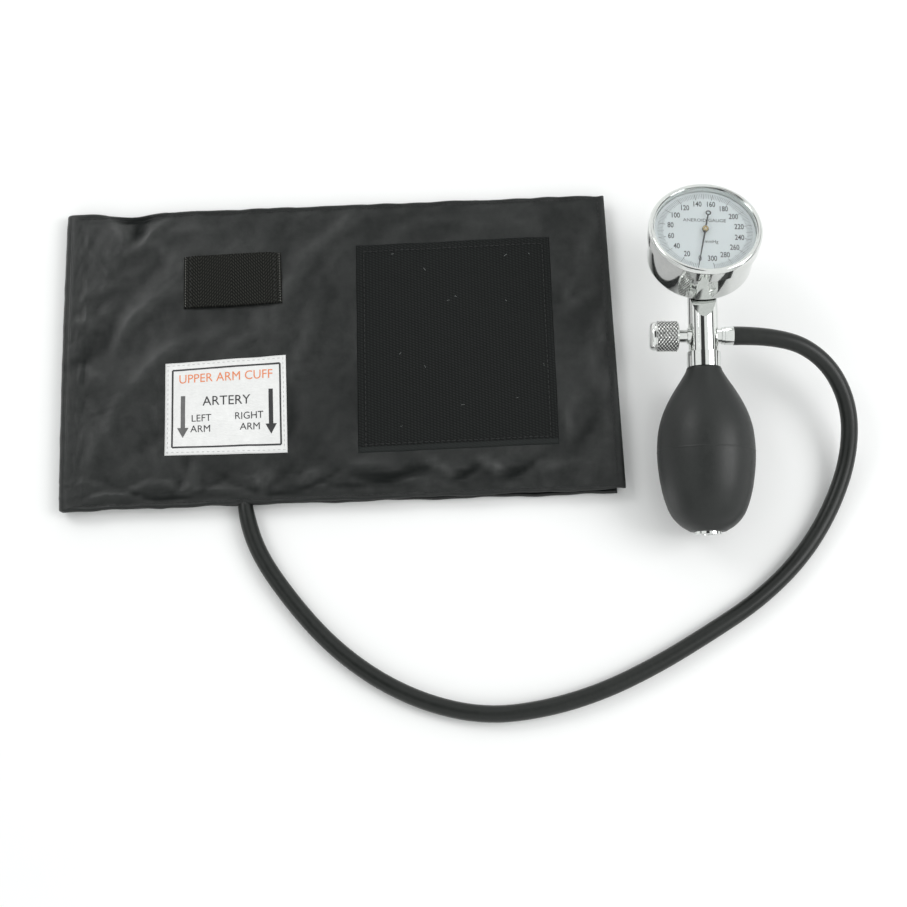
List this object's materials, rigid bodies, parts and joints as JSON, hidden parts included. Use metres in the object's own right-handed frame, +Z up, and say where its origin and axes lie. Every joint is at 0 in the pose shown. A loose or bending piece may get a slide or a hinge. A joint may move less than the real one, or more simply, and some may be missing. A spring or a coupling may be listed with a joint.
{
  "type": "aneroid upper arm blood pressure monitor",
  "caption": "Aneroid blood pressure monitor: a folded arm cuff, a rubber hose, and a hand bulb with a release valve and a round dial gauge.",
  "frame": {"origin": "on the table under the middle of the box round the folded cuff and the handset, hose left out", "axes": "+X along the cuff from its fold to the handset, +Y from the bulb to the gauge, +Z up from the table"},
  "size_m": [0.3585, 0.2463, 0.057],
  "materials": {
    "cuff_cloth": "matt woven nylon",
    "loop_pile": "brushed loop pile",
    "hook_tape": "ribbed hook tape",
    "woven_tape": "herringbone tape",
    "label_satin": "printed white satin",
    "black_rubber": "matt",
    "hose_rubber": "satin",
    "bright_chrome": "polished",
    "brass": "satin",
    "steel": "fine",
    "clear_glass": "clear",
    "dial_white": "satin enamel",
    "pointer_black": "satin enamel"
  },
  "bodies": {
    "monitor": {"cuff_upper_half": "cuff_cloth", "bladder": "black_rubber", "bladder_neck": "black_rubber", "hook_patch": "hook_tape", "gauge_tape_loop": "woven_tape", "artery_label": "label_satin", "hose": "hose_rubber", "hose_nipple": "bright_chrome", "hose_ferrule": "bright_chrome", "valve_body": "bright_chrome", "valve_seat": "brass", "packing_nut": "bright_chrome", "packing_ring": "black_rubber", "bulb_collar": "bright_chrome", "bulb": "black_rubber", "intake_valve_housing": "bright_chrome", "intake_valve_cap": "bright_chrome", "intake_valve_keeper": "brass", "outlet_valve_seat": "brass", "outlet_valve_keeper": "brass", "gauge_seal": "black_rubber", "gauge_spigot": "brass", "gauge_case": "bright_chrome", "gauge_bezel": "bright_chrome", "gauge_lens": "clear_glass", "lens_spacer": "bright_chrome", "gauge_dial": "dial_white", "hairspring": "steel", "movement_lower_plate": "brass", "movement_upper_plate": "brass", "movement_feet": "brass", "movement_pillars": "brass", "movement_screws": "steel", "capsule_lower": "brass"},
    "folded_half": {"cuff_lower_half": "cuff_cloth", "loop_patch": "loop_pile"},
    "needle": {"valve_needle": "brass"},
    "knob": {"valve_knob": "bright_chrome", "valve_spindle": "steel"},
    "indicator": {"pointer": "pointer_black", "pointer_hub": "brass", "pinion_arbor": "steel"},
    "sector": {"sector_gear": "brass", "sector_arbor": "steel"},
    "rocker": {"rocking_shaft": "steel"},
    "capsule_top": {"capsule_upper": "brass", "capsule_stud": "brass"},
    "intake_flap": {"intake_valve_disc": "black_rubber"},
    "outlet_flap": {"outlet_valve_disc": "black_rubber"}
  },
  "joints": [
    {"name": "cuff_unfold", "type": "hinge", "parent": "monitor", "child": "folded_half", "pos_m": [-0.158, 0, 0.004], "axis": [0, 1, 0], "range_deg": [0, 179]},
    {"name": "valve_travel", "type": "slide", "parent": "monitor", "child": "needle", "axis": [-0.998, 0.0483, -0.0399], "range_m": [0, 0.0012]},
    {"name": "valve_turn", "type": "hinge", "parent": "needle", "child": "knob", "pos_m": [0.12142, 0.00453, 0.028], "axis": [-0.998, 0.0483, -0.0399], "range_deg": [0, 541]},
    {"name": "sector_turn", "type": "hinge", "parent": "monitor", "child": "sector", "pos_m": [0.13448, 0.03177, 0.0441], "axis": [-0.012, 0.2509, 0.9679], "range_deg": [0, 34.2]},
    {"name": "pointer_turn", "type": "hinge", "parent": "monitor", "child": "indicator", "pos_m": [0.1327, 0.04443, 0.0408], "axis": [0.012, -0.2509, -0.9679], "range_deg": [0, 340.5]},
    {"name": "rocker_turn", "type": "hinge", "parent": "monitor", "child": "rocker", "pos_m": [0.13509, 0.03621, 0.038], "axis": [0.094, 0.964, -0.2487], "range_deg": [0, 23.77]},
    {"name": "capsule_lift", "type": "slide", "parent": "monitor", "child": "capsule_top", "axis": [-0.012, 0.2509, 0.9679], "range_m": [0, 0.00122], "stiffness_N_per_m": 400, "springref_m": -0.0005},
    {"name": "intake_lift", "type": "slide", "parent": "monitor", "child": "intake_flap", "axis": [0.0433, 0.9922, 0.1167], "range_m": [0, 0.0005]},
    {"name": "outlet_lift", "type": "slide", "parent": "monitor", "child": "outlet_flap", "axis": [0.0433, 0.9922, 0.1167], "range_m": [0, 0.0005]}
  ],
  "couplings": [
    {"joint": "valve_turn", "follows": "valve_travel", "rad_per_m": 7854},
    {"joint": "sector_turn", "follows": "capsule_lift", "rad_per_m": 484.3},
    {"joint": "rocker_turn", "follows": "capsule_lift", "rad_per_m": 335.69},
    {"joint": "pointer_turn", "follows": "capsule_lift", "rad_per_m": 4843}
  ]
}
